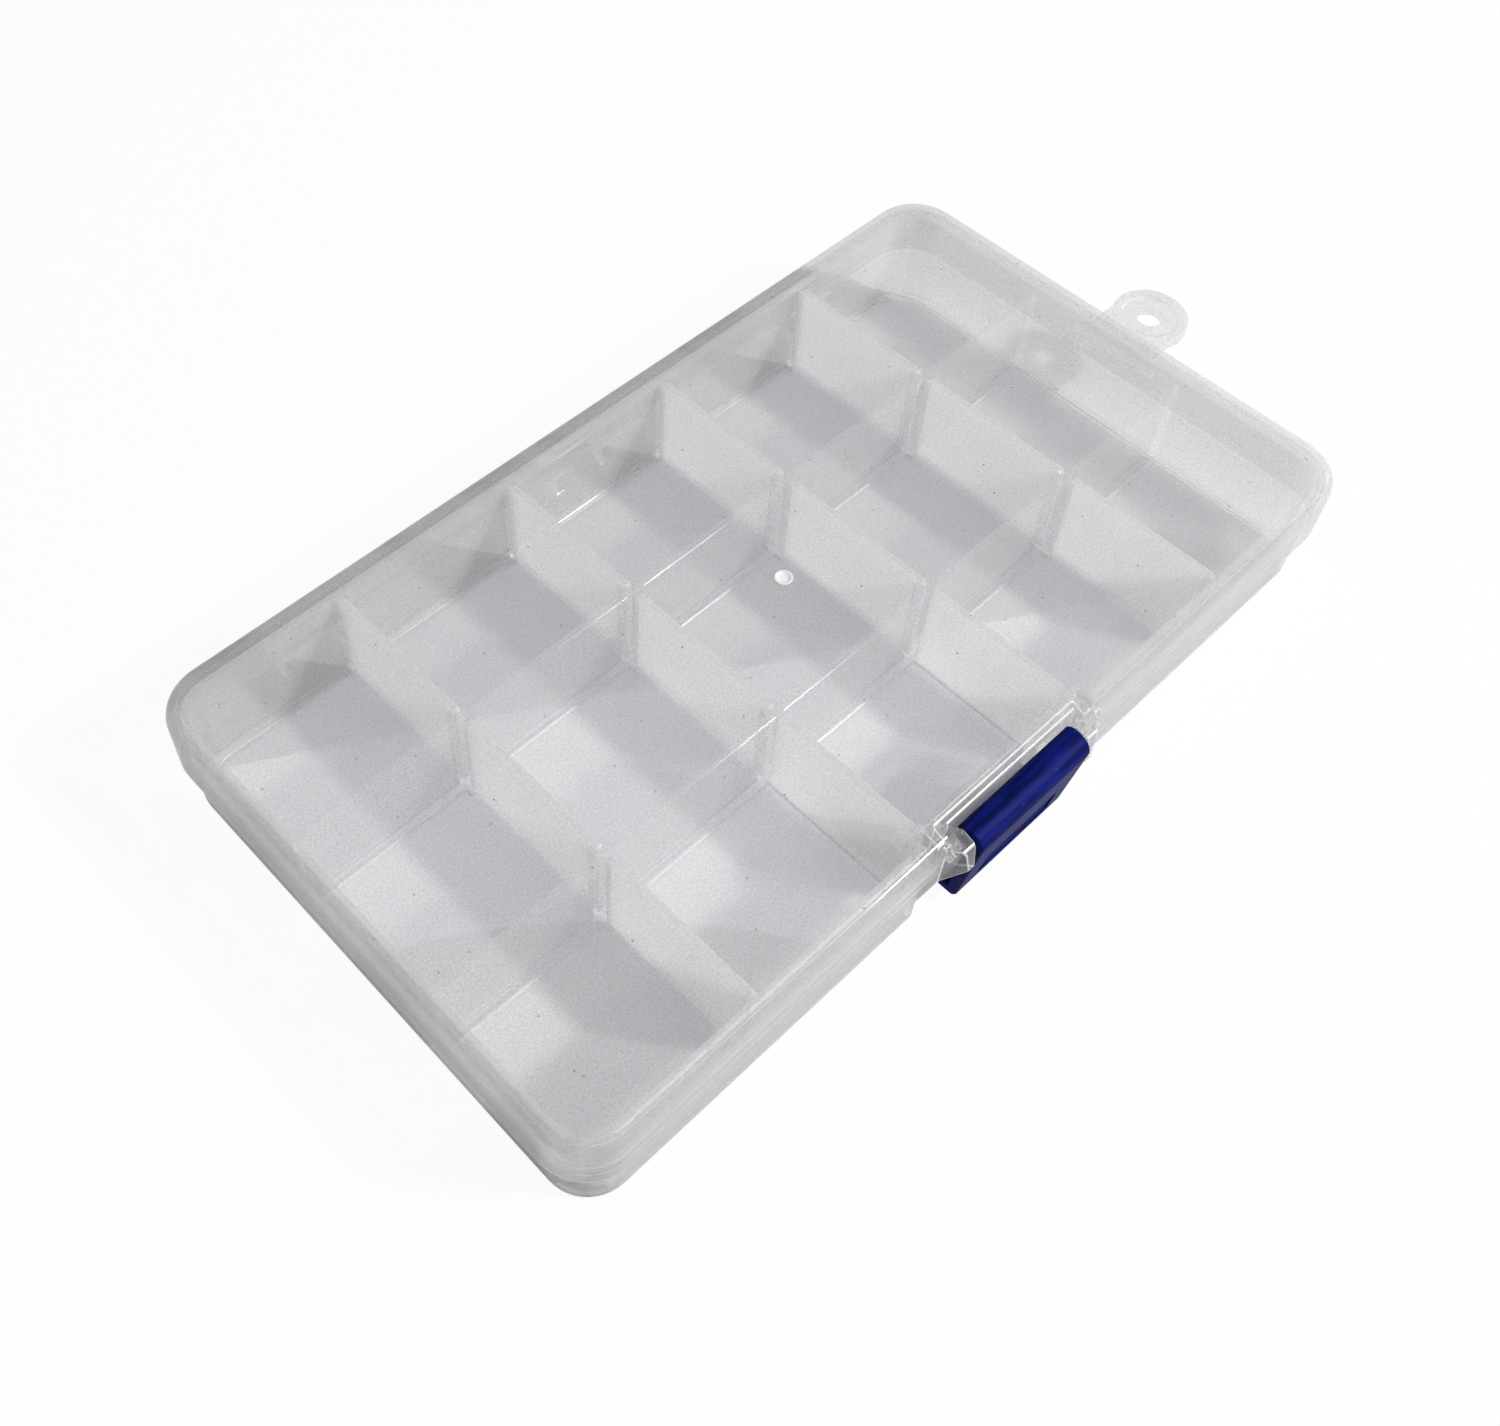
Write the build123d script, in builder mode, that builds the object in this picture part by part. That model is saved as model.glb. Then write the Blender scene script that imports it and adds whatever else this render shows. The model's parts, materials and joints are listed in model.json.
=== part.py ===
from math import cos, radians, sin
from build123d import *
import os

os.makedirs("parts", exist_ok=True)

# A flat plastic box with a hinged lid, a front latch and loose cross dividers, in millimetres.
# +X runs to the hang tab, -Y to the latch and +Z up. The origin is the centre of the tray's underside.

# Lid: outside sizes, wall, and the rebate inside the skirt's lower edge
lid_length = 174.0
lid_width = 98.0
box_height = 23.0
lid_corner = 9.0
lid_wall = 1.2
skirt_rise = 0.2  # from the hinge's axis up to the skirt's lower edge
lid_edge_round = 1.9
rebate_depth = 0.25
rebate_height = 2.3
gate_radius = 1.3
gate_depth = 0.3

# Tray: body under the skirt, a shoulder, and a wall that leans in to the rim
skirt_gap = 0.4
tray_wall = 1.5
tray_floor = 1.2
inside_corner = 6.6
shoulder_gap = 0.5
shoulder_step = 0.1
rim_gap = 0.7
rim_lean = 2.3
base_round = 1.0

# Compartments: five columns and three rows. Two cross walls by the latch are moulded with the tray.
column_count = 5
moulded_count = 2
column_pitch = 35.1
row_pitch = 31.7
long_wall = 1.4
cross_wall = 1.2
wall_drop = 0.8
divider_thickness = 1.1
divider_slot_gap = 0.1
divider_end_gap = 0.2
divider_corner = 0.8
rib_width = 0.9
rib_reach = 1.5
root = 0.5  # how far a wall, rib or web starts inside what it grows from

# Recess in the middle of the front, in the lid and, wider, in the tray
recess_half = 14.65
recess_depth = 2.5
slope_start = 4.6
slope_drop = 2.0
slope_end = 0.3
slope_half = 16.5
waist_inset = 0.6
tray_recess_half = 19.0
tray_recess_gap = 0.4
tray_recess_lean = 0.4

# Ears on both sides of the latch, with the rod that it turns on, moulded with the lid
ear_inner = 13.0
ear_outer = 17.3
ear_tip = 14.3
ear_reach = 2.8
ear_wall = 1.1
ear_top_reach = 1.8
ear_top_fall = 0.7
ear_rise = 3.2
ear_mouth = 1.9
rod_radius = 1.0
rod_inset = 0.1
rod_drop = 4.0

# Latch
latch_half = 12.6
rod_clearance = 0.05
hook_wall = 0.95
mouth_height = 1.8
latch_bulge = 3.1
bulge_drop = 0.6
latch_foot = 1.2
latch_bottom = 2.3
latch_wall = 1.6
crown_share = 0.7
jaw_angle = 20.0
lip_inset = 2.04
lip_height = 1.7
latch_edge_round = 0.4
latch_corner_round = 0.8
grip_half = 8.5
grip_height = 6.4
grip_corner = 1.4
grip_centre = 4.8
grip_depth = 0.5
ridge_count = 4
ridge_radius = 0.35

# Catch on the tray, over the latch's lip
catch_half = 10.0
catch_tip_gap = 0.16
catch_drop_gap = 0.4
catch_tip = 0.8
catch_root = 2.8

# Hinge at the back, half way up, so that the opened lid lies flat beside the tray
hinge_spacing = 58.0
hinge_offset = 2.0
pin_radius = 0.9
pin_clearance = 0.05
clip_length = 8.0
clip_wall = 0.95
clip_mouth = 1.5
clip_web = 4.3
clip_lift = 0.1
clip_tangent = 45.0
clip_side_gap = 0.25
lug_thickness = 2.0
lug_radius = 1.7
lug_depth = 4.8
lug_tangent = 52.0
lug_top_gap = 0.4

# Hang tab
tab_reach = 18.7
tab_radius = 7.0
tab_hole_radius = 2.35
tab_thickness = 2.0
tab_rise = 4.5
tab_ring_radius = 5.2
tab_ring_depth = 0.5
tab_neck = 13.0
tab_flare = 2.5

# Places worked out from the sizes above
lid_half_x = lid_length / 2
lid_half_y = lid_width / 2
plate_under = box_height - lid_wall
hinge_z = box_height / 2
skirt_bottom = hinge_z + skirt_rise
tray_half_x = lid_half_x - lid_wall - skirt_gap
tray_half_y = lid_half_y - lid_wall - skirt_gap
tray_corner = lid_corner - lid_wall - skirt_gap
inside_half_x = tray_half_x - tray_wall
inside_half_y = tray_half_y - tray_wall
shoulder_height = skirt_bottom - shoulder_gap
rim_height = plate_under - rim_gap
wall_height = rim_height - wall_drop
row_wall_y = row_pitch / 2
row_wall_near = row_wall_y - long_wall / 2
row_wall_far = row_wall_y + long_wall / 2
column_wall_x = [(i - column_count / 2) * column_pitch for i in range(1, column_count)]
first_moulded = (column_count - moulded_count + 1) // 2
moulded_walls = range(first_moulded, first_moulded + moulded_count)
recess_face = -lid_half_y + recess_depth
tray_recess_face = recess_face + lid_wall + tray_recess_gap
tray_recess_inside = tray_recess_face + tray_wall
ear_low = skirt_bottom + ear_rise
rod_y = -lid_half_y + rod_inset
rod_height = box_height - rod_drop
bore_radius = rod_radius + rod_clearance
hook_radius = bore_radius + hook_wall
hinge_y = lid_half_y + hinge_offset
clip_bore = pin_radius + pin_clearance
clip_radius = clip_bore + clip_wall
hinge_x = [-hinge_spacing, 0.0, hinge_spacing]
tab_centre = lid_half_x + tab_reach - tab_radius
tab_top = skirt_bottom + tab_rise
tab_root_half = tab_neck / 2 + tab_flare
lip_top = latch_bottom + lip_height
BEYOND = 20.0  # how far a cut runs past what it cuts


def front(outset):
    """The place in Y of something that stands this far out of the skirt's front face."""
    return -lid_half_y - outset


def bar(points, x_from, x_to):
    """A bar along X between two places, with a profile of (y, z) points."""
    with BuildPart() as made:
        with BuildSketch(Plane.YZ.offset(x_from)):
            with BuildLine():
                Polyline(*points, close=True)
            make_face()
        extrude(amount=x_to - x_from)
    return made.part


def prism(points, bottom, top):
    """An upright prism between two heights, with a plan of (x, y) points."""
    with BuildPart() as made:
        with BuildSketch(Plane.XY.offset(bottom)):
            with BuildLine():
                Polyline(*points, close=True)
            make_face()
        extrude(amount=top - bottom)
    return made.part


def block(x_from, x_to, y_from, y_to, bottom, top):
    """A plain block between two places on each axis."""
    corners = [(x_from, y_from), (x_to, y_from), (x_to, y_to), (x_from, y_to)]
    return prism(corners, bottom, top)


def rod(radius, x_from, x_to, y, z):
    """A round rod along X."""
    with BuildPart() as made:
        with BuildSketch(Plane.YZ.offset(x_from)):
            with Locations((y, z)):
                Circle(radius)
        extrude(amount=x_to - x_from)
    return made.part


# Slope over the latch: the lid's top falls from the plate to the tops of the ears
def slope_height(y):
    """The height of the sloping top at a place in Y."""
    run = slope_start - slope_end
    return box_height - (front(-slope_start) - y) * slope_drop / run


def slope_profile(top, drop):
    """The (y, z) points of a band from the slope, lowered by drop, up to a height."""
    start, end = front(-slope_start) + drop, front(lid_wall)
    return [(start, slope_height(start) - drop), (end, slope_height(end) - drop), (end, top), (start, top)]


# Ears: bulges of the skirt that hold the rod's ends, hollow from the inside
def ear():
    profile = [
        (front(-root), skirt_bottom),
        (front(0), skirt_bottom),
        (front(ear_reach), ear_low),
        (front(ear_reach - ear_top_fall), box_height - slope_drop - 2 * ear_top_fall),
        (front(ear_top_reach), box_height - slope_drop - ear_top_fall),
        (front(-slope_end), box_height - slope_drop),
        (front(-root), box_height - slope_drop),
    ]
    plan = [
        (ear_inner, front(ear_reach)),
        (ear_tip, front(ear_reach)),
        (ear_outer, front(0)),
        (ear_outer, front(-lid_wall)),
        (ear_inner, front(-lid_wall)),
    ]
    with BuildPart() as made:
        add(bar(profile, ear_inner, ear_outer))
        add(prism(plan, skirt_bottom, box_height), mode=Mode.INTERSECT)
    return made.part


def ear_hollow():
    inner = ear_inner + ear_wall
    plan = [
        (inner, front(ear_reach - 2 * ear_wall)),
        (ear_tip, front(ear_reach - 2 * ear_wall)),
        (ear_outer - ear_wall, front(-ear_wall / 2)),
        (ear_outer - ear_wall, front(-ear_mouth)),
        (recess_half + lid_wall, front(-ear_mouth)),
        (inner, front(-ear_wall / 2)),
    ]
    return prism(plan, ear_low - ear_wall, box_height - slope_drop - 2 * ear_wall)


def recess_opening():
    """What is cut away between the ears, wider at the recess wall than at the latch's ends."""
    waist = front(-waist_inset)
    plan = [
        (-recess_half, recess_face),
        (-ear_inner, waist),
        (-ear_inner, front(BEYOND)),
        (ear_inner, front(BEYOND)),
        (ear_inner, waist),
        (recess_half, recess_face),
    ]
    return prism(plan, 0, box_height + BEYOND)


# Lid
with BuildPart() as lid:
    with BuildSketch(Plane.XY.offset(skirt_bottom)):
        RectangleRounded(lid_length, lid_width, lid_corner)
    extrude(amount=box_height - skirt_bottom)
    fillet(lid.edges().group_by(Axis.Z)[-1], lid_edge_round)
    with BuildSketch(Plane.XY.offset(skirt_bottom)):
        RectangleRounded(lid_length - 2 * lid_wall, lid_width - 2 * lid_wall, lid_corner - lid_wall)
    extrude(amount=plate_under - skirt_bottom, mode=Mode.SUBTRACT)
    with BuildSketch(Plane.XY.offset(skirt_bottom)):
        rebate_wall = lid_wall - rebate_depth
        RectangleRounded(lid_length - 2 * rebate_wall, lid_width - 2 * rebate_wall, lid_corner - rebate_wall)
    extrude(amount=rebate_height, mode=Mode.SUBTRACT)
    with BuildSketch(Plane.XY.offset(box_height)):
        Circle(gate_radius)
    extrude(amount=-gate_depth, mode=Mode.SUBTRACT)

    # Walls of the recess and the sloping top over it
    outer_half = recess_half + lid_wall
    add(block(-outer_half, outer_half, front(0), recess_face + lid_wall, skirt_bottom, plate_under))
    slab_half = slope_half + lid_wall
    slab = slope_profile(plate_under, lid_wall)[:2]
    slab += [(front(0), plate_under), (recess_face, plate_under)]
    add(bar(slab, -slab_half, slab_half))
    add(bar(slope_profile(box_height + BEYOND, 0), -slope_half, slope_half), mode=Mode.SUBTRACT)

    # Ears and rod
    right_ear = ear()
    add([right_ear, right_ear.mirror(Plane.YZ)])
    right_hollow = ear_hollow()
    add([right_hollow, right_hollow.mirror(Plane.YZ)], mode=Mode.SUBTRACT)
    add(recess_opening(), mode=Mode.SUBTRACT)
    add(rod(rod_radius, -ear_inner - root, ear_inner + root, rod_y, rod_height))

    # Hinge clips, open underneath so that they snap on to the tray's pins
    clip_turn = radians(clip_tangent)
    for x in hinge_x:
        x_from, x_to = x - clip_length / 2, x + clip_length / 2
        web = [
            (lid_half_y - root, skirt_bottom + clip_lift),
            (lid_half_y - root, skirt_bottom + clip_web),
            (lid_half_y, skirt_bottom + clip_web),
            (hinge_y + clip_radius * sin(clip_turn), hinge_z + clip_radius * cos(clip_turn)),
            (hinge_y, hinge_z),
        ]
        add(bar(web, x_from, x_to))
        add(rod(clip_radius, x_from, x_to, hinge_y, hinge_z))
        add(rod(clip_bore, x_from, x_to, hinge_y, hinge_z), mode=Mode.SUBTRACT)
        mouth = clip_mouth / 2
        slot = block(x_from, x_to, hinge_y - mouth, hinge_y + mouth, hinge_z - 2 * clip_radius, hinge_z)
        add(slot, mode=Mode.SUBTRACT)

    # Hang tab: a flared neck, a disc with a raised rim and the hole
    with BuildSketch(Plane.XY.offset(tab_top - tab_thickness)):
        with Locations((tab_centre, 0)):
            Circle(tab_radius)
        with BuildLine():
            Polyline(
                (tab_centre, -tab_neck / 2),
                (lid_half_x + tab_flare, -tab_neck / 2),
                (lid_half_x, -tab_root_half),
                (lid_half_x - root, -tab_root_half),
                (lid_half_x - root, tab_root_half),
                (lid_half_x, tab_root_half),
                (lid_half_x + tab_flare, tab_neck / 2),
                (tab_centre, tab_neck / 2),
                close=True,
            )
        make_face()
        with Locations((tab_centre, 0)):
            Circle(tab_hole_radius, mode=Mode.SUBTRACT)
    extrude(amount=tab_thickness)
    with BuildSketch(Plane.XY.offset(tab_top)):
        with Locations((tab_centre, 0)):
            Circle(tab_ring_radius)
    extrude(amount=-tab_ring_depth, mode=Mode.SUBTRACT)


# Tray
def rib_pair(x, y_wall, direction):
    """Two upright ribs that stand out of a wall and hold a loose divider's end between them."""
    slot = divider_thickness / 2 + divider_slot_gap
    y_from, y_to = sorted((y_wall - direction * root, y_wall + direction * rib_reach))
    left = block(x - slot - rib_width, x - slot, y_from, y_to, tray_floor, wall_height)
    right = block(x + slot, x + slot + rib_width, y_from, y_to, tray_floor, wall_height)
    return [left, right]


# Each loose divider's name, its place in X and the two wall faces that it stands between
dividers = []
for number, x in enumerate(column_wall_x, start=1):
    dividers.append((f"divider_back_{number}", x, row_wall_far, inside_half_y))
    dividers.append((f"divider_middle_{number}", x, -row_wall_near, row_wall_near))
    if number not in moulded_walls:
        dividers.append((f"divider_front_{number}", x, -inside_half_y, -row_wall_far))

with BuildPart() as tray:
    with BuildSketch():
        RectangleRounded(2 * tray_half_x, 2 * tray_half_y, tray_corner)
    extrude(amount=shoulder_height)
    fillet(tray.edges().group_by(Axis.Z)[0], base_round)
    with BuildSketch(Plane.XY.offset(shoulder_height)):
        RectangleRounded(
            2 * (tray_half_x - shoulder_step), 2 * (tray_half_y - shoulder_step), tray_corner - shoulder_step
        )
    extrude(amount=rim_height - shoulder_height, taper=rim_lean)
    with BuildSketch(Plane.XY.offset(tray_floor)):
        RectangleRounded(2 * inside_half_x, 2 * inside_half_y, inside_corner)
    extrude(amount=rim_height - tray_floor, mode=Mode.SUBTRACT)

    # Recess behind the latch
    recess_side = tray_recess_half + tray_wall
    add(block(-recess_side, recess_side, -inside_half_y - root, tray_recess_inside, 0, rim_height))
    recess_cut = [
        (front(BEYOND), -BEYOND),
        (tray_recess_face, -BEYOND),
        (tray_recess_face, shoulder_height),
        (tray_recess_face + shoulder_step, shoulder_height),
        (tray_recess_face + shoulder_step + tray_recess_lean, rim_height),
        (tray_recess_face + shoulder_step + tray_recess_lean, rim_height + BEYOND),
        (front(BEYOND), rim_height + BEYOND),
    ]
    add(bar(recess_cut, -tray_recess_half, tray_recess_half), mode=Mode.SUBTRACT)

    # Long walls, and the two cross walls that are moulded with the tray
    wall_root = tray_floor - root
    wall_end = inside_half_x + root
    for y in (-row_wall_y, row_wall_y):
        add(block(-wall_end, wall_end, y - long_wall / 2, y + long_wall / 2, wall_root, wall_height))
    for number in moulded_walls:
        left, right = [column_wall_x[number - 1] + side * cross_wall / 2 for side in (-1, 1)]
        add(block(left, right, tray_recess_inside - root, -row_wall_y, wall_root, wall_height))

    # Ribs at both ends of each loose divider
    for name, x, y_from, y_to in dividers:
        add(rib_pair(x, y_from, 1) + rib_pair(x, y_to, -1))

    # Catch over the latch's lip
    tip = front(-lip_inset) + catch_tip_gap
    under = lip_top + catch_drop_gap
    catch = [
        (tray_recess_face + root, under),
        (tip, under),
        (tip, under + catch_tip),
        (tray_recess_face, under + catch_root),
        (tray_recess_face + root, under + catch_root),
    ]
    add(bar(catch, -catch_half, catch_half))

    # Hinge lugs under the skirt, with the pins between them
    lug_inner = clip_length / 2 + clip_side_gap
    lug_outer = lug_inner + lug_thickness
    lug_top = skirt_bottom - lug_top_gap
    lug_turn = radians(lug_tangent)
    web = [
        (tray_half_y - root, lug_top),
        (hinge_y, lug_top),
        (hinge_y + lug_radius * cos(lug_turn), hinge_z - lug_radius * sin(lug_turn)),
        (tray_half_y - root, lug_top - lug_depth),
    ]
    for x in hinge_x:
        for x_from, x_to in ((x - lug_outer, x - lug_inner), (x + lug_inner, x + lug_outer)):
            add(bar(web, x_from, x_to))
            add(rod(lug_radius, x_from, x_to, hinge_y, hinge_z))
        add(rod(pin_radius, x - lug_outer, x + lug_outer, hinge_y, hinge_z))


# Latch: a hook round the rod, a leaning plate and a lip at its foot
with BuildPart() as latch:
    hook_top = (rod_y, rod_height + hook_radius)
    crown_reach = (latch_bulge + rod_inset) * crown_share
    crown = (rod_y - crown_reach, rod_height + hook_radius * crown_share)
    shoulder = (front(latch_bulge), rod_height - bulge_drop)
    foot = (front(latch_foot), latch_bottom + latch_wall / 2)
    jaw_turn = radians(jaw_angle)
    jaw = (rod_y - hook_radius * sin(jaw_turn), rod_height - hook_radius * cos(jaw_turn))
    with BuildSketch(Plane.YZ.offset(-latch_half)):
        with BuildLine():
            ThreePointArc(hook_top, crown, shoulder)
            Polyline(
                shoulder,
                foot,
                (front(latch_foot - latch_wall / 3), latch_bottom),
                (front(-lip_inset), latch_bottom),
                (front(-lip_inset), lip_top),
                (front(latch_foot - latch_wall), lip_top),
                jaw,
            )
            ThreePointArc(jaw, (rod_y + hook_radius, rod_height), hook_top)
        make_face()
    extrude(amount=2 * latch_half)
    long_edges = latch.edges().filter_by(Axis.X)
    bulge_edge = long_edges.sort_by(Axis.Y)[0]
    foot_edges = long_edges.sort_by(Axis.Z)[:3].sort_by(Axis.Y)[:2]
    fillet([bulge_edge] + foot_edges, latch_corner_round)
    end_edges = latch.faces().filter_by(Axis.X).edges()
    fillet([edge for edge in end_edges if edge.center().Y < front(latch_foot / 2)], latch_edge_round)
    with BuildSketch(Plane.YZ.offset(-latch_half)):
        with Locations((rod_y, rod_height)):
            Circle(bore_radius)
        with Locations((rod_y + hook_radius, rod_height)):
            Rectangle(2 * hook_radius, mouth_height)
    extrude(amount=2 * latch_half, mode=Mode.SUBTRACT)

    # Grip: a shallow pocket with ridges, on the leaning face
    lean = (Vector(0, *shoulder) - Vector(0, *foot)).normalized()
    face_plane = Plane(
        origin=Vector(0, *foot) + lean * grip_centre, x_dir=(1, 0, 0), z_dir=(0, -lean.Z, lean.Y)
    )
    with BuildSketch(face_plane):
        RectangleRounded(2 * grip_half, grip_height, grip_corner)
    extrude(amount=-grip_depth, mode=Mode.SUBTRACT)
    ridge_pitch = grip_height / (ridge_count + 1)
    for i in range(ridge_count):
        offset_up = (i - (ridge_count - 1) / 2) * ridge_pitch
        middle = face_plane.offset(-grip_depth).from_local_coords(Vector(0, offset_up, 0))
        add(rod(ridge_radius, -grip_half + grip_corner / 2, grip_half - grip_corner / 2, middle.Y, middle.Z))


# Loose dividers, which stand on the tray's floor
def divider(x, y_from, y_to):
    with BuildPart() as made:
        with BuildSketch(Plane.XY.offset(tray_floor)):
            with Locations((x, (y_from + y_to) / 2)):
                Rectangle(divider_thickness, y_to - y_from - 2 * divider_end_gap)
        extrude(amount=wall_height - tray_floor)
        top_corners = made.edges().filter_by(Axis.X).group_by(Axis.Z)[-1]
        fillet(top_corners, divider_corner)
    return made.part


pieces = {"tray": tray.part, "lid": lid.part, "latch": latch.part}
for name, x, y_from, y_to in dividers:
    pieces[name] = divider(x, y_from, y_to)

for name, piece in pieces.items():
    piece.label = name
    export_step(piece, f"parts/{name}.step")
    print(f"{name}: {len(piece.solids())} solid, {piece.volume:.0f} cubic mm")
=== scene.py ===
# A flat compartment box of clear, slightly milky plastic, closed, lying on a white table.
# +X runs to the hang tab, -Y to the blue latch and +Z up. All lengths are in metres.
import json
import math

import bmesh
import bpy
from mathutils import Matrix, Vector

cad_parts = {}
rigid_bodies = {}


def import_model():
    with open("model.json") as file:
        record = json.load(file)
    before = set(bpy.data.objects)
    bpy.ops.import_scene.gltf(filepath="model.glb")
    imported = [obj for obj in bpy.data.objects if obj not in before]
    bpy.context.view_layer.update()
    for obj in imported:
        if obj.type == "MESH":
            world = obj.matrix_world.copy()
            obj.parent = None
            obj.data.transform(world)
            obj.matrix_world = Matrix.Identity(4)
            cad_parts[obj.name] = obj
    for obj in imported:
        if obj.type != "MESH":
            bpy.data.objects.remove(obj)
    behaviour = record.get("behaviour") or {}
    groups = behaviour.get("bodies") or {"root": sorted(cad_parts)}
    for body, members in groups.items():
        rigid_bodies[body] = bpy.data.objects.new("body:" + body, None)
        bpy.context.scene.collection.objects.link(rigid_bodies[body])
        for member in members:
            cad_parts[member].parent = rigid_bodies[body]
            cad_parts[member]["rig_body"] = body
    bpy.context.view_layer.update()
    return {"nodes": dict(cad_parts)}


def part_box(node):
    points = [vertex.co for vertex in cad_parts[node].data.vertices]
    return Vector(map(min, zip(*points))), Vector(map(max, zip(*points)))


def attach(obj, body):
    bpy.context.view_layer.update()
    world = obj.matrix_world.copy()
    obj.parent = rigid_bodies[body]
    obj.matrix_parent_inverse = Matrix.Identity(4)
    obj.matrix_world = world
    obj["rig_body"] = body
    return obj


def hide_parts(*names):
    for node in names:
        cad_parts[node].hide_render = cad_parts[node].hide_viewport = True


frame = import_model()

scene = bpy.context.scene
scene.view_settings.view_transform = "Standard"


# Camera: stands in front and to the left of the box, close, and looks down on it.
# The place, lens and shift were worked out from the straight edges of the box in the photograph.
camera_place = Vector((-0.13075, -0.10288, 0.2327))
camera_target = Vector((-0.01388, 0.01744, 0.0100))
camera_roll = math.radians(1.174)
camera_lens = 40.62  # millimetres, on a sensor 36 mm wide
camera_shift = (0.0717, -0.0690)

camera = bpy.data.objects.new("camera", bpy.data.cameras.new("camera"))
camera.data.lens = camera_lens
camera.data.sensor_width = 36.0
camera.data.shift_x, camera.data.shift_y = camera_shift
camera.data.clip_start = 0.01
scene.collection.objects.link(camera)
gaze = (camera_target - camera_place).to_track_quat("-Z", "Y").to_matrix().to_4x4()
camera.matrix_world = Matrix.Translation(camera_place) @ gaze @ Matrix.Rotation(camera_roll, 4, "Z")
scene.camera = camera


# Table and light: a white table top in a dim pale room, under a broad soft window high above it.
# One small lamp low down in front at the right gives the crisp bright patches on the box's floor,
# and its shadows fall to the left and to the back.
class Wire:
    """A socket of a shader tree. A sum on it adds its Math node, and a number may stand on either side."""

    def __init__(self, finish, socket):
        self.finish, self.socket = finish, socket

    def maths(self, operation, first, second=0.0):
        return self.finish.node("ShaderNodeMath", {"operation": operation}, {0: first, 1: second})

    def __add__(self, other):
        return self.maths("ADD", self, other)

    def __radd__(self, other):
        return self.maths("ADD", other, self)

    def __sub__(self, other):
        return self.maths("SUBTRACT", self, other)

    def __rsub__(self, other):
        return self.maths("SUBTRACT", other, self)

    def __mul__(self, other):
        return self.maths("MULTIPLY", self, other)

    def __rmul__(self, other):
        return self.maths("MULTIPLY", other, self)

    def __pow__(self, other):
        return self.maths("POWER", self, other)

    def __lt__(self, other):
        return self.maths("LESS_THAN", self, other)

    def __abs__(self):
        return self.maths("ABSOLUTE", self)

    def or_more(self, other):
        """The wire's own value, or the other one where that is larger."""
        return self.maths("MAXIMUM", self, other)


class Finish:
    """A material, or the room's light, that is built node by node."""

    def __init__(self, owner):
        owner.use_nodes = True
        self.owner, self.tree = owner, owner.node_tree
        self.tree.nodes.clear()

    def node(self, kind, settings=None, inputs=None, output=0):
        """Adds a node: its settings first, then a value or a wire for each named socket."""
        node = self.tree.nodes.new(kind)
        for name, value in (settings or {}).items():
            setattr(node, name, value)
        for name, value in (inputs or {}).items():
            if isinstance(value, Wire):
                self.tree.links.new(value.socket, node.inputs[name])
            else:
                node.inputs[name].default_value = value
        return Wire(self, node.outputs[output]) if len(node.outputs) else node

    def place(self):
        """Where a point lies on the piece, in metres."""
        return self.node("ShaderNodeTexCoord", output="Object")

    def along(self, axis):
        """Where a point lies along one axis: 0, 1 or 2 for X, Y or Z."""
        return self.node("ShaderNodeSeparateXYZ", {}, {"Vector": self.place()}, output=axis)

    def noise(self, size, detail, stretch=(1, 1, 1)):
        """Soft random shading whose blobs are about this size, from 0 to 1."""
        place = self.node("ShaderNodeMapping", {}, {"Vector": self.place(), "Scale": stretch})
        return self.node("ShaderNodeTexNoise", {}, {"Vector": place, "Scale": 1 / size, "Detail": detail})

    def above(self, value, low, high):
        """0 below low, 1 above high, and a smooth step between."""
        limits = {"Value": value, "From Min": low, "From Max": high}
        return self.node("ShaderNodeMapRange", {"interpolation_type": "SMOOTHSTEP"}, limits)

    def blend(self, share, first, second):
        """A colour between two colours."""
        colours = {"Factor": share, 6: first, 7: second}
        return self.node("ShaderNodeMix", {"data_type": "RGBA"}, colours, output=2)

    def mixed(self, share, first, second):
        """A surface that shows a share of the second one."""
        return self.node("ShaderNodeMixShader", {}, {0: share, 1: first, 2: second})

    def show(self, shader):
        self.node("ShaderNodeOutputMaterial", {}, {"Surface": shader})
        return self.owner


table_half = 2.0
table_colour = (0.69, 0.69, 0.70, 1)
table_own_light = 0.94  # how white the table looks where nothing is before it
table_in_gloss = 0.25

table_finish = Finish(bpy.data.materials.new("white_table"))
table_matt = table_finish.node(
    "ShaderNodeBsdfPrincipled", {}, {"Base Color": table_colour, "Roughness": 0.7, "Specular IOR Level": 0.2}
)
table_white = table_finish.node("ShaderNodeEmission", {}, {"Color": (1, 1, 1, 1), "Strength": 1.0})
seen_straight, seen_in_gloss, walls_passed = (
    table_finish.node("ShaderNodeLightPath", output=name)
    for name in ("Is Camera Ray", "Is Glossy Ray", "Transparent Depth")
)
in_the_open = walls_passed < 0.5
white_share = table_own_light * seen_straight * in_the_open + table_in_gloss * seen_in_gloss
table_mesh = bpy.data.meshes.new("table")
corners = [(table_half * side, table_half * end, 0.0) for side, end in ((-1, -1), (1, -1), (1, 1), (-1, 1))]
table_mesh.from_pydata(corners, [], [(0, 1, 2, 3)])
table_mesh.materials.append(table_finish.show(table_finish.mixed(white_share, table_matt, table_white)))
table_top = bpy.data.objects.new("table", table_mesh)
scene.collection.objects.link(table_top)

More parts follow.
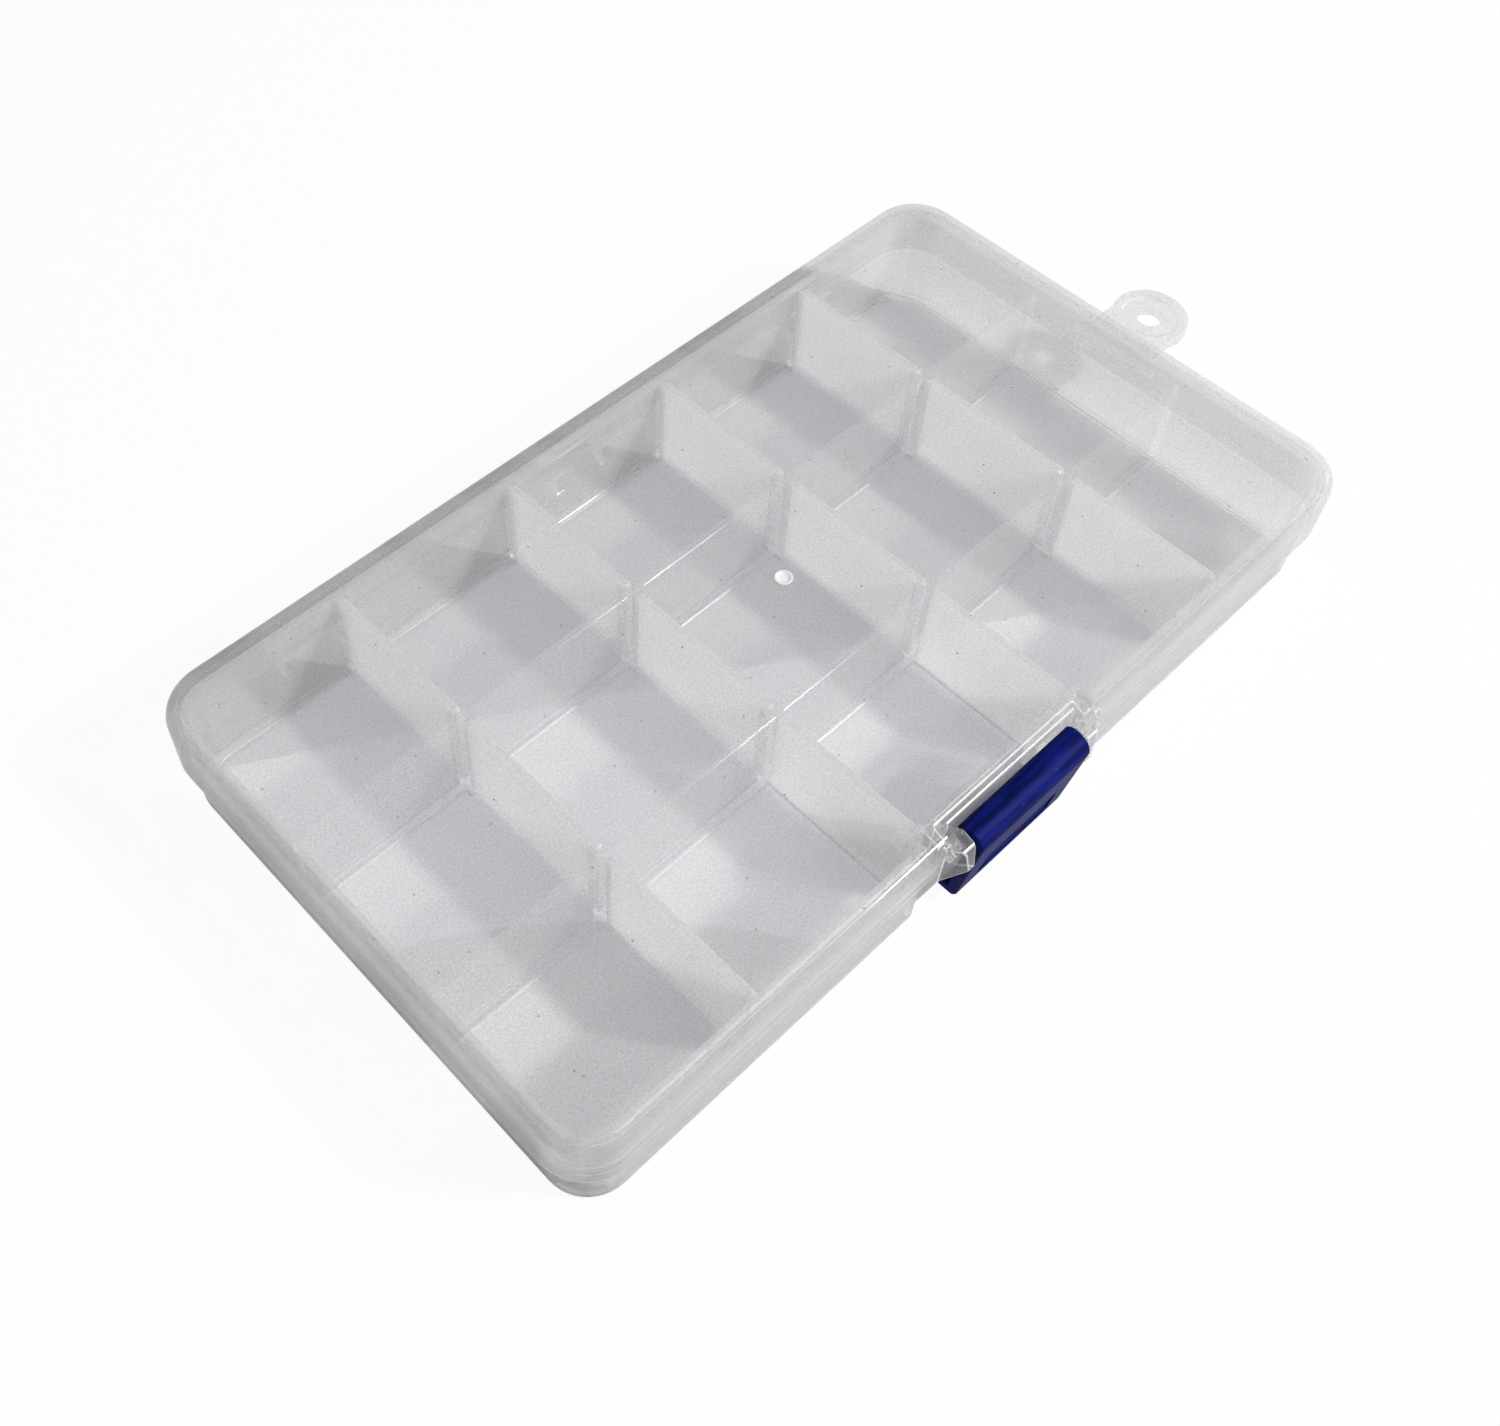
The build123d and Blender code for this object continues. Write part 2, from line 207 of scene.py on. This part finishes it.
room_colour = (0.945, 0.96, 1.0, 1)
room_light = 0.13
room_seen = {"Is Camera Ray": 1.0, "Is Glossy Ray": 0.50, "Is Transmission Ray": 0.50}
room = Finish(bpy.data.worlds.new("room"))
room_strength = room_light
for ray, seen in room_seen.items():
    room_strength = room_strength + (seen - room_light) * room.node("ShaderNodeLightPath", output=ray)
room_walls = room.node("ShaderNodeBackground", {}, {"Color": room_colour, "Strength": room_strength})
room.node("ShaderNodeOutputWorld", {}, {"Surface": room_walls})
scene.world = room.owner
scene.cycles.transparent_max_bounces = 32

box_middle = Vector((0, 0, 0.01))
lamp_distance = 1.2


def window(name, azimuth, height, size, power, colour):
    """A square window of light that faces the box's middle, in a direction given in degrees."""
    turn, lift = math.radians(azimuth), math.radians(height)
    way = Vector((math.cos(turn) * math.cos(lift), math.sin(turn) * math.cos(lift), math.sin(lift)))
    lamp = bpy.data.lights.new(name, "AREA")
    lamp.energy, lamp.size, lamp.color = power, size, colour
    held = bpy.data.objects.new(name, lamp)
    facing = way.to_track_quat("Z", "Y").to_matrix().to_4x4()
    held.matrix_world = Matrix.Translation(box_middle + lamp_distance * way) @ facing
    scene.collection.objects.link(held)


window("high_window", azimuth=-20, height=72, size=0.50, power=3.0, colour=(1.0, 0.99, 0.975))
window("front_lamp", azimuth=-56, height=40, size=0.07, power=18.5, colour=(1.0, 0.985, 0.965))


# Tray: one shot of clear polypropylene, with its floor, walls, guide ribs, hinge lugs and pins.
# The plastic is slightly milky, so it shows what is behind it through a pale haze. The haze is
# thickest in the two cross walls by the latch. The foot in front and at the left is darkened with
# painted shade, the shadow under the skirt's overhang.
cloud_size, grain_size, grain_height = 0.012, 0.00040, 0.0002
steady_haze, cloudy_haze = 0.92, 0.16
cloudy_roughness = 0.03
straight_shine, grazing_shine, shine_power = 0.03, 0.70, 5.0


def milky(made, haze, passed, tint, grain_depth, gloss, let_through):
    """Clear plastic with a pale haze in it: see-through, with its own pale colour and a gloss on top."""
    cloud = made.noise(cloud_size, 2.0)
    grain = made.noise(grain_size, 1.0)
    share = haze * (steady_haze + cloudy_haze * cloud)
    bump = made.node(
        "ShaderNodeBump", {}, {"Strength": grain_depth, "Distance": grain_height, "Height": grain}
    )
    rough = gloss + cloudy_roughness * cloud
    body = made.node(
        "ShaderNodeBsdfPrincipled",
        {},
        {"Base Color": tint, "Roughness": rough, "Specular IOR Level": 0.0, "Normal": bump},
    )
    glow = made.node("ShaderNodeBsdfTranslucent", {}, {"Color": tint})
    clear = made.node("ShaderNodeBsdfTransparent", {}, {"Color": passed})
    sight = made.mixed(share, clear, made.mixed(let_through, body, glow))
    shine = made.node(
        "ShaderNodeBsdfPrincipled",
        {},
        {"Base Color": (1, 1, 1, 1), "Metallic": 1.0, "Roughness": rough, "Normal": bump},
    )
    facing = made.node("ShaderNodeLayerWeight", {}, {"Blend": 0.5, "Normal": bump}, output="Facing")
    return made.mixed(straight_shine + grazing_shine * facing**shine_power, sight, shine)


def dust_and_shade_over(made, share, plastic, cover_colour, roughness):
    """The plastic with a share of a dull, dark colour over it, used for real dust and grain and for painted
    shade.
    """
    dull = made.node("ShaderNodeBsdfPrincipled", {}, {"Base Color": cover_colour, "Roughness": roughness})
    return made.mixed(share, plastic, dull)


# The pale edge finish is a painted highlight: whiter and more opaque than the plastic, it makes rounded
# edges show as bright lines.
edge_haze = 0.90
edge_finish = Finish(bpy.data.materials.new("pale_edge"))
pale_edge = edge_finish.show(
    milky(
        edge_finish,
        edge_haze,
        passed=(0.985, 0.986, 0.990, 1),
        tint=(0.99, 0.99, 0.99, 1),
        grain_depth=0.01,
        gloss=0.18,
        let_through=0.60,
    )
)

merge_distance = 0.000002
flat_angle = math.radians(0.5)
sharp_angle = math.radians(30)
round_share = 0.42  # the most of the room beside an edge that its rounding takes


def softened(node, name, radius, material, edge_top):
    """A copy of a solid with its moulded edges rounded over, which stands for it.

    The roundings up to the height edge_top take the pale edge finish, a painted highlight that shows them as
    bright lines.
    """
    shape = bmesh.new()
    shape.from_mesh(frame["nodes"][node].data)
    bmesh.ops.remove_doubles(shape, verts=shape.verts, dist=merge_distance)
    bmesh.ops.dissolve_limit(
        shape, angle_limit=flat_angle, verts=shape.verts, edges=shape.edges, delimit={"NORMAL"}
    )
    weight = shape.edges.layers.float.new("bevel_weight_edge")
    for edge in shape.edges:
        if edge.calc_face_angle(0.0) > sharp_angle:
            start, along = edge.verts[0].co, (edge.verts[1].co - edge.verts[0].co).normalized()
            room_beside = radius / round_share
            for face in edge.link_faces:
                for vert in face.verts:
                    away = (vert.co - start).cross(along).length
                    if away > merge_distance:
                        room_beside = min(room_beside, away)
            edge[weight] = round_share * room_beside / radius
    mesh = bpy.data.meshes.new(name)
    shape.to_mesh(mesh)
    shape.free()
    mesh.materials.clear()
    mesh.materials.append(material)
    mesh.materials.append(pale_edge)
    piece = bpy.data.objects.new(name, mesh)
    scene.collection.objects.link(piece)
    rounding = piece.modifiers.new("rounding", "BEVEL")
    rounding.width, rounding.segments = radius, 2
    rounding.limit_method = "WEIGHT"
    rounding.use_clamp_overlap = False
    rounding.material = 1
    rounding.miter_outer = "MITER_ARC"
    shading = piece.modifiers.new("shading", "WEIGHTED_NORMAL")
    shading.keep_sharp = True
    mesh.shade_smooth()
    rounded = bpy.data.meshes.new_from_object(piece.evaluated_get(bpy.context.evaluated_depsgraph_get()))
    for face in rounded.polygons:
        if face.center.z > edge_top:
            face.material_index = 0
    piece.modifiers.clear()
    piece.data = rounded
    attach(piece, frame["nodes"][node]["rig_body"])
    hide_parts(node)
    return piece


tray_round = 0.00030
foot_height = 0.002
clear_passed = (0.980, 0.981, 0.984, 1)
floor_haze, row_haze, outer_haze, cross_haze = 0.34, 0.13, 0.24, 0.60
wall_glow, cross_glow = 0.30, 0.75  # the share of the haze that lets light through to its other side
blur = 0.0002  # how fast one haze turns into the next
floor_top = 0.0012
outer_wall = 0.0018  # an outer wall with a margin
half_cross_wall = 0.0006
cross_wall_end = -0.0166
outer_corner = 0.0074
corner_margin = 0.0006
shoulder_height = 0.0112
# Painted shade: the foot in front and at the left, under the skirt, takes this share of a dark colour.
foot_shade_share = 0.28
foot_shade_colour = (0.12, 0.12, 0.13, 1)

tray_low, tray_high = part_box("tray")
cross_wall_x = (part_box("divider_front_4")[0].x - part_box("divider_front_1")[0].x) / 6

tray_finish = Finish(bpy.data.materials.new("tray_milky"))
tray_x, tray_y, tray_z = (tray_finish.along(axis) for axis in range(3))
on_walls = tray_finish.above(tray_z, floor_top - blur / 2, floor_top + blur)
past_end = abs(tray_x) - (tray_high.x - outer_wall)
past_side = abs(tray_y) - (-tray_low.y - outer_wall)
on_outside = tray_finish.above(past_end.or_more(past_side), -blur, blur)
from_cross = abs(abs(tray_x) - cross_wall_x)
off_cross = tray_finish.above(from_cross, half_cross_wall + 0.5 * blur, half_cross_wall + 1.5 * blur)
past_cross = tray_finish.above(tray_y, cross_wall_end - blur, cross_wall_end)
on_cross = on_walls * (1 - off_cross) * (1 - past_cross) * (1 - on_outside)
tray_haze = floor_haze + (row_haze - floor_haze) * on_walls
tray_haze = tray_haze + (outer_haze - row_haze) * on_outside + (cross_haze - row_haze) * on_cross
tray_plastic = milky(
    tray_finish,
    tray_haze,
    passed=clear_passed,
    tint=(0.98, 0.98, 0.985, 1),
    grain_depth=0.04,
    gloss=0.10,
    let_through=wall_glow + (cross_glow - wall_glow) * on_cross,
)
from_left = (tray_low.x + outer_corner - tray_x).or_more(0.0)
from_front = (tray_low.y + outer_corner - tray_y).or_more(0.0)
outward = (from_left**2.0 + from_front**2.0) ** 0.5
foot_reach = outer_corner - corner_margin
on_foot = tray_finish.above(outward, foot_reach, foot_reach + blur)
under_skirt = 1 - tray_finish.above(tray_z, shoulder_height - blur, shoulder_height)
# Painted shade darkens the foot below the skirt's shoulder, in front and at the left.
tray_milky = tray_finish.show(
    dust_and_shade_over(tray_finish, foot_shade_share * on_foot * under_skirt, tray_plastic, foot_shade_colour, roughness=0.6)
)
tray_body = softened("tray", "tray_moulding", tray_round, tray_milky, foot_height)


# Loose dividers: ten thin plates of the same plastic, pushed down between the ribs.
# They come from another mould, with a slightly duller face.
divider_haze = 0.62
divider_round = 0.00025
divider_finish = Finish(bpy.data.materials.new("divider_milky"))
divider_milky = divider_finish.show(
    milky(
        divider_finish,
        divider_haze,
        passed=clear_passed,
        tint=(0.97, 0.97, 0.975, 1),
        grain_depth=0.05,
        gloss=0.14,
        let_through=0.75,
    )
)
for node in list(frame["nodes"]):
    if node.startswith("divider_"):
        plate_name = node.replace("divider", "plate")
        plate = softened(node, plate_name, divider_round, divider_milky, foot_height)


# Lid: one shot of the same plastic, with its skirt, hang tab, hinge clips and the latch's rod.
# It is clearer and glossier than the tray, with fine dull grain and a few specks of dust on its top.
# Its skirt is darkened in front with painted shade.
lid_round = 0.00025
plate_haze, skirt_haze = 0.055, 0.13
plate_depth, plate_blur = 0.0014, 0.0003  # the plate with a margin, down from the lid's top
front_start, front_blur = -0.0462, 0.0006
# Painted shade: the skirt in front, below the plate, takes this share of the dark colour.
front_shade_share = 0.11
speck_apart = 0.013
speck_reach = 0.016
speck_darkness = 0.7
top_depth, top_blur = 0.0003, 0.0002  # how deep under the lid's top the specks reach
grain_apart = 0.00032
grain_limits = (0.40, 0.70)
grain_darkness = 0.12
# The dark colour of the dust specks and grain, also used for the painted shade on the front skirt.
dust_and_shade_colour = (0.10, 0.09, 0.09, 1)

lid_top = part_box("lid")[1].z
lid_finish = Finish(bpy.data.materials.new("lid_milky"))
lid_y, lid_z = lid_finish.along(1), lid_finish.along(2)
speck_near = lid_finish.node(
    "ShaderNodeTexVoronoi",
    {"voronoi_dimensions": "2D"},
    {"Vector": lid_finish.place(), "Scale": 1 / speck_apart, "Randomness": 1.0},
)
on_top = lid_finish.above(lid_z, lid_top - top_depth, lid_top - top_depth + top_blur)
speck = on_top - on_top * lid_finish.above(speck_near, 0.5 * speck_reach, speck_reach)
dull_grain = lid_finish.above(lid_finish.noise(grain_apart, 1.0), *grain_limits)
plate_underside = lid_top - plate_depth
on_plate = lid_finish.above(lid_z, plate_underside - plate_blur, plate_underside)
in_front = lid_finish.above(front_start - lid_y, 0.0, front_blur)
# Painted shade on the front of the skirt.
front_painted_shade = front_shade_share * in_front * (1 - on_plate)
lid_plastic = milky(
    lid_finish,
    skirt_haze + (plate_haze - skirt_haze) * on_plate,
    passed=(0.980, 0.981, 0.983, 1),
    tint=(0.88, 0.88, 0.884, 1),
    grain_depth=0.03,
    gloss=0.05,
    let_through=0.5,
)
# Real dust specks and grain, and the painted shade in front.
lid_dust_and_shade = speck_darkness * speck + grain_darkness * dull_grain + front_painted_shade
lid_milky = lid_finish.show(dust_and_shade_over(lid_finish, lid_dust_and_shade, lid_plastic, dust_and_shade_colour, roughness=0.8))
lid_body = softened("lid", "lid_moulding", lid_round, lid_milky, edge_top=1.0)


# Gate mark: the small round scar in the middle of the lid, where the plastic was fed into the mould.
# It is of the lid's plastic: a shallow cup in the lid's pocket, with a low ring round it.
gate_profile = [  # how far out and how far above the lid's top, over the top and back underneath
    (0.00002, -0.00022), (0.0006, -0.00023), (0.00095, -0.00018), (0.00112, 0.00000), (0.0012, 0.00003),
    (0.0014, 0.00003), (0.0016, -0.00002), (0.00126, -0.00004), (0.0012, -0.00027), (0.00002, -0.00028),
]
gate_sides = 32
gate_turn = 2 * math.pi / gate_sides
gate = bmesh.new()
rings = []
for reach, lift in gate_profile:
    around = [(reach * math.cos(gate_turn * i), reach * math.sin(gate_turn * i)) for i in range(gate_sides)]
    rings.append([gate.verts.new((side, end, lid_top + lift)) for side, end in around])
for ring, wider in zip(rings, rings[1:]):
    for i in range(gate_sides):
        after = (i + 1) % gate_sides
        gate.faces.new((ring[i], wider[i], wider[after], ring[after]))
gate.faces.new(rings[0])
gate.faces.new(list(reversed(rings[-1])))
gate.normal_update()
gate_mesh = bpy.data.meshes.new("gate_mark")
gate.to_mesh(gate_mesh)
gate.free()
gate_mesh.shade_smooth()
# The gate mark takes the same pale finish as the edges.
gate_mesh.materials.append(pale_edge)
gate_mark = bpy.data.objects.new("gate_mark", gate_mesh)
scene.collection.objects.link(gate_mark)
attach(gate_mark, "lid")


# Latch: a clip of the same plastic, dyed a deep blue and quite opaque, that snaps round the lid's rod.
# The dye runs in streaks along its length, and its face is slightly scuffed.
streak_size, streak_stretch, streak_limits = 0.0010, (0.10, 1, 1), (0.36, 0.66)
scuff_size, scuff_limits, scuff_strength = 0.0011, (0.62, 0.78), 0.15
latch_rough, scuffed_rough = 0.50, 0.65
latch_grain = 0.0005

latch_finish = Finish(bpy.data.materials.new("latch_blue"))
streak = latch_finish.above(latch_finish.noise(streak_size, 3.0, streak_stretch), *streak_limits)
scuff = latch_finish.above(latch_finish.noise(scuff_size, 3.0), *scuff_limits)
dyed = latch_finish.blend(streak, (0.001, 0.003, 0.045, 1), (0.003, 0.009, 0.125, 1))
latch_bump = latch_finish.node(
    "ShaderNodeBump",
    {},
    {"Strength": 0.15, "Distance": 0.0002, "Height": latch_finish.noise(latch_grain, 2.0)},
)
latch_blue = latch_finish.show(
    latch_finish.node(
        "ShaderNodeBsdfPrincipled",
        {},
        {
            "Base Color": latch_finish.blend(scuff_strength * scuff, dyed, (0.10, 0.13, 0.45, 1)),
            "Roughness": latch_rough + (scuffed_rough - latch_rough) * scuff,
            "Specular IOR Level": 0.035,
            "Normal": latch_bump,
        },
    )
)
latch_clip = frame["nodes"]["latch"]
latch_clip.data.materials.clear()
latch_clip.data.materials.append(latch_blue)
